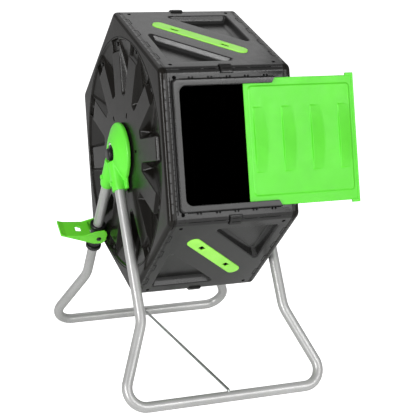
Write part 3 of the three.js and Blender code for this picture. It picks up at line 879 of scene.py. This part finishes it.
def long_edges(build, half_x):
    """The rounded edges that lead to the next panels, as strips from the flat's own edge."""
    for side in (-1, 1):
        rows = []
        for i in range(8):
            a = math.radians(29.9 * i / 7)
            y = side * (TANGENT + CORNER_R * math.sin(a))
            z = APOTHEM - CORNER_R + CORNER_R * math.cos(a)
            rows.append([(-half_x, y, z), (half_x, y, z)])
        build.grid(rows)


def flat_edge(build, half_x):
    return build.level(rectangle(half_x, TANGENT), APOTHEM)


def vented_panel(name, angle):
    build = Build()
    edge = flat_edge(build, PANEL_END)
    tops = [pocket(build, POCKET), pocket(build, turned_points(POCKET, 180))]
    seat = turned_points(stadium(VENT_HALF, VENT_R + 0.6), VENT_ANGLE)
    wide = turned_points(stadium(VENT_HALF, VENT_R + 1.2), VENT_ANGLE)
    top = build.level(wide, APOTHEM)
    floor = build.level(seat, APOTHEM - 1.8)
    build.loft([top, build.level(seat, APOTHEM - 0.6), floor])
    holes = []
    for s in (-1, 1):
        outline = [(x + s * VENT_HOLE, y) for x, y in rounded(rectangle(7, 4), 1.5, 3)]
        outline = turned_points(outline, VENT_ANGLE)
        hole = build.level(outline, APOTHEM - 1.8)
        build.loft([hole, build.level(outline, APOTHEM - 12)], caps=(False, True))
        holes.append(hole)
    build.fill(floor, holes)
    build.fill(edge, tops + [top])
    long_edges(build, PANEL_END)
    obj = piece(f"{name}_shell", build, panel_frame(angle), "drum", BLACK,
                [f"{name}_panel"], smooth=50, out=(0, 0, 1))
    # The shell's inside face gets the near-black painted-shade material, darker than the outside of
    # the same plastic.
    obj.data.materials.append(SHADE_BLACK)
    modifier(obj, "SOLIDIFY", thickness=0.003, offset=-1, material_offset=1)
    weighted(obj)


def vent_strip(name, angle):
    build = Build()
    top_z = APOTHEM + 1.5
    holes = []
    for s in (-1, 1):
        rings = []
        for grow, z in ((0.9, top_z), (0.3, top_z - 0.3), (0, top_z - 0.9), (0, APOTHEM - 1.4)):
            ring = rounded(rectangle(9.5 + grow, 5 + grow), 2 + grow, 4)
            rings.append(build.level([(x + s * VENT_HOLE, y) for x, y in ring], z))
        build.loft(rings)
        holes.append(rings)
    edge = (
        (1.4, top_z), (0.7, top_z - 0.15), (0.2, top_z - 0.6), (0, top_z - 1.3), (0, APOTHEM - 1.4)
    )
    outer = [build.level(stadium(VENT_HALF, VENT_R - d), z) for d, z in edge]
    build.loft(outer)
    build.fill(outer[0], [rings[0] for rings in holes])
    build.fill(outer[-1], [rings[-1] for rings in holes])
    place = panel_frame(angle) @ turn(VENT_ANGLE, "Z")
    obj = piece(f"{name}_strip", build, place, "drum", STRIP_GREEN,
                [f"{name}_vent_strip"], smooth=50)
    weighted(obj)


# Half length, half height and corner radius of the loading opening.
OPENING_X, OPENING_Y, OPENING_R = 104, 116, 15


def front_panel():
    build = Build()
    edge = flat_edge(build, PANEL_END)
    opening = build.level(rounded(rectangle(OPENING_X, OPENING_Y), OPENING_R, 8), APOTHEM)
    build.fill(edge, [opening])
    long_edges(build, PANEL_END)
    place = panel_frame(0)
    obj = piece("front_shell", build, place, "drum", BLACK, ["front_panel"],
                smooth=50, out=(0, 0, 1))
    # The shell's inside face gets the near-black painted-shade material, darker than the outside of
    # the same plastic.
    obj.data.materials.append(SHADE_BLACK)
    modifier(obj, "SOLIDIFY", thickness=0.004, offset=-1, material_offset=1)
    weighted(obj)


RAIL_END, RAIL_SLANT, RAIL_WIDTH = 92, 8, 13
# (out from the opening's edge, height) round the rail, which is a channel open towards the door.
RAIL_PROFILE = [
    (0, 6.0), (0, 7.9), (0.4, 8.6), (1.2, 9.0), (10.4, 9.0), (11.6, 8.6), (12.3, 7.8), (13.0, 5.0),
    (13.0, 0.3), (11.0, 0.3), (11.0, 5.6), (10.4, 6.0),
]


def door_frame():
    """A rail of one profile round three sides of the opening, open towards the door's way out."""
    def station(s, kind, t):
        x, y = -OPENING_X - s, OPENING_Y + s
        r = OPENING_R - 0.62 * s
        if kind == "start":
            return (RAIL_END + RAIL_SLANT * s / RAIL_WIDTH, y)
        if kind == "end":
            return (RAIL_END + RAIL_SLANT * s / RAIL_WIDTH, -y)
        if kind == "upper":
            a = math.radians(90 + 90 * t)
            return (x + r + r * math.cos(a), y - r + r * math.sin(a))
        a = math.radians(180 + 90 * t)
        return (x + r + r * math.cos(a), -y + r + r * math.sin(a))

    stations = [("start", 0)] + [("upper", i / 8) for i in range(9)]
    stations += [("lower", i / 8) for i in range(9)] + [("end", 0)]
    build = Build()
    rings = [
        build.ring([(*station(s, kind, t), APOTHEM + n) for s, n in RAIL_PROFILE])
        for kind, t in stations
    ]
    build.loft(rings, caps=(True, True))
    obj = piece("door_rail", build, panel_frame(0), "drum", BLACK, ["door_frame"],
                smooth=40)
    weighted(obj)


# ---- door ----
DOOR_LEFT, DOOR_WIDTH, DOOR_HALF_Y = 31, 244, 126.5
DOOR_LOW = APOTHEM + 1.3
DOOR_TOP = 3.0
FIELD = (40, 265, -107, 112)
FIELD_CORNER = 9
LEAF_CORNER = 4
RIBS = (47, 109, 172, 234)
RIB_WIDTH, RIB_LOW, RIB_HIGH = 29, -60, 69


def rib_height(x, y):
    for left in RIBS:
        if not left - 1 < x < left + RIB_WIDTH + 8:
            continue
        middle = (RIB_LOW + RIB_HIGH) / 2
        span = (y - middle) / ((RIB_HIGH - RIB_LOW) / 2)
        if abs(span) >= 1.03:
            continue
        swell = 1 - span * span if abs(span) < 1 else 0
        ends = 1 - ramp(abs(span), 0.965, 1.02)
        width = RIB_WIDTH * (0.82 + 0.24 * swell)
        face = 1 - min(max((x - left - 2) / (width - 2), 0), 1)
        return (1.2 + 3.0 * swell) * ends * ramp(x, left - 0.2, left + 2.4) * face
    return 0.0


def field_depth(x, y):
    """How far a point lies inside the raised field, whose corners are rounded to clear the rail's."""
    left, right, low, high = FIELD
    across = FIELD_CORNER - min(x - left, right - x)
    along = FIELD_CORNER - min(y - low, high - y)
    if across > 0 and along > 0:
        return FIELD_CORNER - math.hypot(across, along)
    return FIELD_CORNER - max(across, along)


def door_height(x, y):
    into = field_depth(x, y)
    rim = 0.9 * ramp(min(x - DOOR_LEFT, DOOR_LEFT + DOOR_WIDTH - x, DOOR_HALF_Y - abs(y)), -1, 1.2)
    return DOOR_TOP - 0.9 + rim + 2.4 * ramp(into, 0, 3.2) + rib_height(x, y)


def spaced(low, high, marks, coarse):
    """Grid lines from low to high, fine round each mark."""
    values = {round(low, 3), round(high, 3)}
    count = int((high - low) / coarse)
    values |= {round(low + (high - low) * i / count, 3) for i in range(count + 1)}
    for mark, reach, step in marks:
        n = int(reach / step)
        near = [mark + step * i for i in range(-n, n + 1)]
        values |= {round(value, 3) for value in near if low <= value <= high}
    ordered = sorted(values)
    kept = [ordered[0]]
    for value in ordered[1:]:
        if value - kept[-1] > 0.3:
            kept.append(value)
    kept[-1] = ordered[-1]
    return kept


def leaf_x(x, y):
    """Grid lines near the leading edge bend round its two rounded corners."""
    over = max(abs(y) - DOOR_HALF_Y + LEAF_CORNER, 0)
    bend = LEAF_CORNER - math.sqrt(LEAF_CORNER**2 - over**2)
    return x + bend * max(1 - (x - DOOR_LEFT) / (2 * LEAF_CORNER), 0)


def door():
    right = DOOR_LEFT + DOOR_WIDTH
    xs = spaced(
        DOOR_LEFT, right,
        [(DOOR_LEFT, 1.6, 0.4), (right, 1.6, 0.4), (FIELD[0] + 4, 5, 0.8), (FIELD[1] - 4, 5, 0.8)]
        + [(rib + 1, 2.4, 0.4) for rib in RIBS],
        3.0,
    )
    ys = spaced(
        -DOOR_HALF_Y, DOOR_HALF_Y,
        [(-DOOR_HALF_Y, 4.4, 0.4), (DOOR_HALF_Y, 4.4, 0.4), (FIELD[2] + 4, 5, 0.8),
         (FIELD[3] - 4, 5, 0.8), (RIB_LOW, 3, 0.6), (RIB_HIGH, 3, 0.6)],
        4.0,
    )
    build = Build()
    build.grid([[(leaf_x(x, y), y, DOOR_LOW + door_height(x, y)) for x in xs] for y in ys])
    place = panel_frame(0)
    obj = piece("door_leaf", build, place, "door", DOOR_GREEN, ["sliding_door"],
                smooth=60, out=(0, 0, 1))
    modifier(obj, "SOLIDIFY", thickness=0.0024, offset=-1)
    weighted(obj)
    build = Build()
    for side in (-1, 1):
        low, high = sorted((side * (DOOR_HALF_Y - 2), side * (DOOR_HALF_Y + 5)))
        boxes(build, (right - 18, low, DOOR_LOW), (right, high, DOOR_LOW + 4.6))
    boxes(build, (right - 5.5, -DOOR_HALF_Y, DOOR_LOW), (right, DOOR_HALF_Y, DOOR_LOW + 4.4))
    lugs = piece("door_stop_lugs", build, place, "door", DOOR_GREEN, weld=FINE_WELD)
    bevel(lugs, 1.0, 3)
    weighted(lugs)


# ---- small parts on the front and the edges ----
def saddle(centre, sections, swing):
    """A strip bent over a rounded edge; sections give its place along the edge and its height."""
    build = Build()
    rings = []
    for x, lift in sections:
        ring = []
        for r, ends in ((CORNER_R - 0.5, (-1, 1)), (CORNER_R + lift, (1, -1))):
            for i in range(13):
                a = math.radians(swing * (ends[0] + (ends[1] - ends[0]) * i / 12))
                ring.append((x, r * math.sin(a), centre + r * math.cos(a)))
        rings.append(build.ring(ring))
    build.loft(rings, caps=(True, True))
    return build


def seam_clip(index):
    angle = 30 + 60 * index
    reach = APOTHEM / math.cos(math.radians(30)) - CORNER_R * (1 / math.cos(math.radians(30)) - 1)
    centre = reach - CORNER_R
    build = saddle(centre, [(-12.5, 3.0), (-11.6, 3.9), (11.6, 3.9), (12.5, 3.0)], 30)
    # A slightly larger near-black slab under the clip: painted shade of the gap round it.
    gap = saddle(centre, [(-14.4, 0.3), (14.4, 0.3)], 34)
    piece(f"edge_clip_shadow_{index + 1}", gap, panel_frame(angle), "drum", SHADE_BLACK)
    obj = piece(f"edge_clip_{index + 1}", build, panel_frame(angle), "drum", BLACK,
                [f"seam_clip_{index + 1}"], smooth=50)
    weighted(obj)
    # Near-black strips along the rounded edge and across the clip: painted shade of the seam and of
    # the clip's slot.
    marks = Build()
    for low, high in ((-98, -52), (-46, -20), (20, 46), (52, 98)):
        shade_line(marks, (low, 0), (high, 0), reach, 1.0)
    shade_line(marks, (-9, -3), (9, -3), reach + 3.7, 1.3)
    shade_line(marks, (-9, 5), (9, 5), reach + 3.3, 1.1)
    piece(f"edge_shadow_lines_{index + 1}", marks, panel_frame(angle), "drum", SHADE_BLACK,
          weld=FINE_WELD)


def dimple(build, x, y, radius, z):
    turned(
        build,
        [(CORE, z + 0.5), (radius * 0.6, z + 0.45), (radius, z + 0.1), (radius, z - 1),
         (CORE, z - 1)],
        12, "z", (x, y, 0),
    )


def shade_line(build, low, high, z, width=0.9):
    """Painted shade of a narrow moulded groove: a near-black strip along x or y, standing just proud
    of the surface.
    """
    (x0, y0), (x1, y1) = low, high
    if x0 == x1:
        boxes(build, (x0 - width / 2, y0, z - 1), (x0 + width / 2, y1, z + 0.12))
    else:
        boxes(build, (x0, y0 - width / 2, z - 1), (x1, y0 + width / 2, z + 0.12))


def front_marks():
    """Painted shade beside the door frame: near-black domes for the screws and for the pairs of small
    lugs along its rails, and near-black strips for the seam grooves.
    """
    screws, lugs, grooves = Build(), Build(), Build()
    for y in (-132.5, 132.5):
        dimple(screws, -110, y, 4, APOTHEM + 0.2)
        for x in (-76, -36, 3, 42, 83):
            for dx in (-3.4, 3.4):
                dimple(lugs, x + dx, math.copysign(132.2, y), 1.9, APOTHEM + 0.4)
        seam = math.copysign(130, y)
        shade_line(grooves, (-100, seam), (100, seam), APOTHEM, 1.4)
    shade_line(grooves, (-119.8, -133), (-119.8, 133), APOTHEM, 1.5)
    for i in range(-6, 7):
        for y in (TAB_PITCH * i - 5, TAB_PITCH * i + 5):
            shade_line(grooves, (-123.6, y), (-119.8, y), APOTHEM, 1.5)
    place = panel_frame(0)
    piece("front_screw_shadows", screws, place, "drum", SHADE_BLACK)
    piece("front_lug_shadows", lugs, place, "drum", SHADE_BLACK)
    piece("front_groove_shadows", grooves, place, "drum", SHADE_BLACK, weld=FINE_WELD)


TAB_INNER, TAB_OUTER, TAB_HALF = 120.5, 129, 12


def panel_marks(name, angle):
    """Painted shade on a closed panel: near-black domes for its corner screws, and near-black lines
    for the outlines of the tabs that reach in from the ends.
    """
    build = Build()
    for x, y in ((-110, 131), (110, 131), (-110, -131), (110, -131)):
        dimple(build, x, y, 3.8, APOTHEM + 0.1)
    piece(f"{name}_screws", build, panel_frame(angle), "drum", SHADE_BLACK)
    tabs = Build()
    for y in (-90, -30, 30, 90):
        for low, high in ((-TAB_OUTER, -TAB_INNER), (TAB_INNER, TAB_OUTER)):
            shade_line(tabs, (low, y - TAB_HALF), (high, y - TAB_HALF), APOTHEM, 1.2)
            shade_line(tabs, (low, y + TAB_HALF), (high, y + TAB_HALF), APOTHEM, 1.2)
        for x in (-TAB_INNER, TAB_INNER):
            shade_line(tabs, (x, y - TAB_HALF), (x, y + TAB_HALF), APOTHEM, 1.2)
    piece(f"{name}_tab_shadow_lines", tabs, panel_frame(angle), "drum", SHADE_BLACK,
          weld=FINE_WELD)


# ---- scene ----
def camera_only(tree, seen, lighting):
    """A value that the camera sees, while everything else is lit by another one."""
    path = tree.nodes.new("ShaderNodeLightPath")
    mix = tree.nodes.new("ShaderNodeMix")
    mix.inputs["A"].default_value = lighting
    mix.inputs["B"].default_value = seen
    tree.links.new(path.outputs["Is Camera Ray"], mix.inputs["Factor"])
    return mix.outputs["Result"]


def studio():
    world = bpy.data.worlds.new("studio")
    bpy.context.scene.world = world
    world.use_nodes = True
    background = world.node_tree.nodes["Background"]
    background.inputs["Color"].default_value = (1, 1, 1, 1)
    tree = world.node_tree
    tree.links.new(camera_only(tree, 1.0, 0.36), background.inputs["Strength"])
    floor_mesh = bpy.data.meshes.new("floor")
    size = 40
    corners = [(-size, -size, 0), (size, -size, 0), (size, size, 0), (-size, size, 0)]
    floor_mesh.from_pydata(corners, [], [(0, 1, 2, 3)])
    floor = bpy.data.objects.new("floor", floor_mesh)
    bpy.context.scene.collection.objects.link(floor)
    material = bpy.data.materials.new("pale_floor")
    tree, shader = nodes_of(material)
    cloud = noise(tree, 1.5, 2)
    tree.links.new(
        two_tone(tree, cloud, (0.9, 0.9, 0.9), (0.93, 0.93, 0.93)), shader.inputs["Base Color"]
    )
    shader.inputs["Roughness"].default_value = 0.9
    shader.inputs["Specular IOR Level"].default_value = 0.1
    shader.inputs["Emission Color"].default_value = (1, 1, 1, 1)
    tree.links.new(camera_only(tree, 0.9, 0.12), shader.inputs["Emission Strength"])
    floor_mesh.materials.append(material)


LIGHT_DISTANCE = 3.2


def softbox(name, direction, size, radiance):
    """A rectangle of light that looks at the middle of the drum from a direction."""
    target = Vector((0, 0, 0.45))
    towards = Vector(direction).normalized()
    data = bpy.data.lights.new(name, "AREA")
    data.shape = "RECTANGLE"
    data.size, data.size_y = size
    data.energy = radiance * math.pi * size[0] * size[1]
    light = bpy.data.objects.new(name, data)
    bpy.context.scene.collection.objects.link(light)
    light.location = target + towards * LIGHT_DISTANCE
    light.rotation_euler = (-towards).to_track_quat("-Z", "Y").to_euler()


LENS = 106.97
VIEW_FROM = (-0.943, -2.4321, 1.0016)
VIEW_AHEAD = (0.3691, 0.8964, -0.2456)
VIEW_ROLL = 0.0255


def camera():
    data = bpy.data.cameras.new("camera")
    data.sensor_width = 36
    data.lens = LENS
    data.clip_end = 200
    view = bpy.data.objects.new("camera", data)
    bpy.context.scene.collection.objects.link(view)
    ahead = Vector(VIEW_AHEAD).normalized()
    level = ahead.cross(Vector((0, 0, 1))).normalized()
    up = level.cross(ahead)
    roll = math.asin(VIEW_ROLL / up.z)
    right = level * math.cos(roll) + up * math.sin(roll)
    up = right.cross(ahead)
    rotation = Matrix((right, up, -ahead)).transposed().to_4x4()
    spot = Vector((AXLE.x, 0, 0)) + Vector(VIEW_FROM)
    view.matrix_world = Matrix.Translation(spot) @ rotation
    bpy.context.scene.camera = view


bpy.context.scene.view_settings.view_transform = "Standard"
camera()
studio()
softbox("left", (-0.745, -0.645, 0.16), (0.5, 1.1), 20.0)
softbox("side", (-0.83, -0.43, 0.36), (0.5, 0.9), 15.0)
softbox("front", (0.28, -0.94, 0.16), (2.2, 0.9), 3.5)
softbox("front_high", (0.29, -0.86, 0.4), (2.0, 0.35), 9.5)
softbox("back_top", (0.05, 0.66, 0.72), (3.0, 1.6), 0.9)

leg_frame("front", -1)
leg_frame("rear", 1)
spreader_rod()
MIRRORED_DRUM = DRUM @ MIRROR_X
LEFT_PLATE = DRUM @ Matrix.Translation((-END_X, 0, 0)) @ turn(-90, "Y") @ turn(90, "Z")
RIGHT_PLATE = MIRRORED_DRUM @ Matrix.Translation((-END_X, 0, 0)) @ turn(-90, "Y") @ turn(90, "Z")
for side_name, hub_place, drum_place, plate in (
    ("left", HUB_FRAME, DRUM, LEFT_PLATE),
    ("right", HUB_FRAME @ MIRROR_X, MIRRORED_DRUM, RIGHT_PLATE),
):
    hub(side_name, hub_place)
    hub_details(side_name, hub_place)
    axle_cap(side_name, drum_place)
    end_plate(side_name, plate)
    plate_fixings(side_name, plate)
lock_collar()
lever()
pivot_pin()
for panel_name, panel_angle in PANELS.items():
    vented_panel(panel_name, panel_angle)
    vent_strip(panel_name, panel_angle)
front_panel()
door_frame()
door()
for clip in range(6):
    seam_clip(clip)
front_marks()
for panel_name, panel_angle in PANELS.items():
    panel_marks(panel_name, panel_angle)

for kept in ("left_hub_bushing", "right_hub_bushing", "left_stub_axle", "right_stub_axle"):
    mesh_data = frame["nodes"][kept].data
    mesh_data.materials.clear()
    mesh_data.materials.append(FITTING)
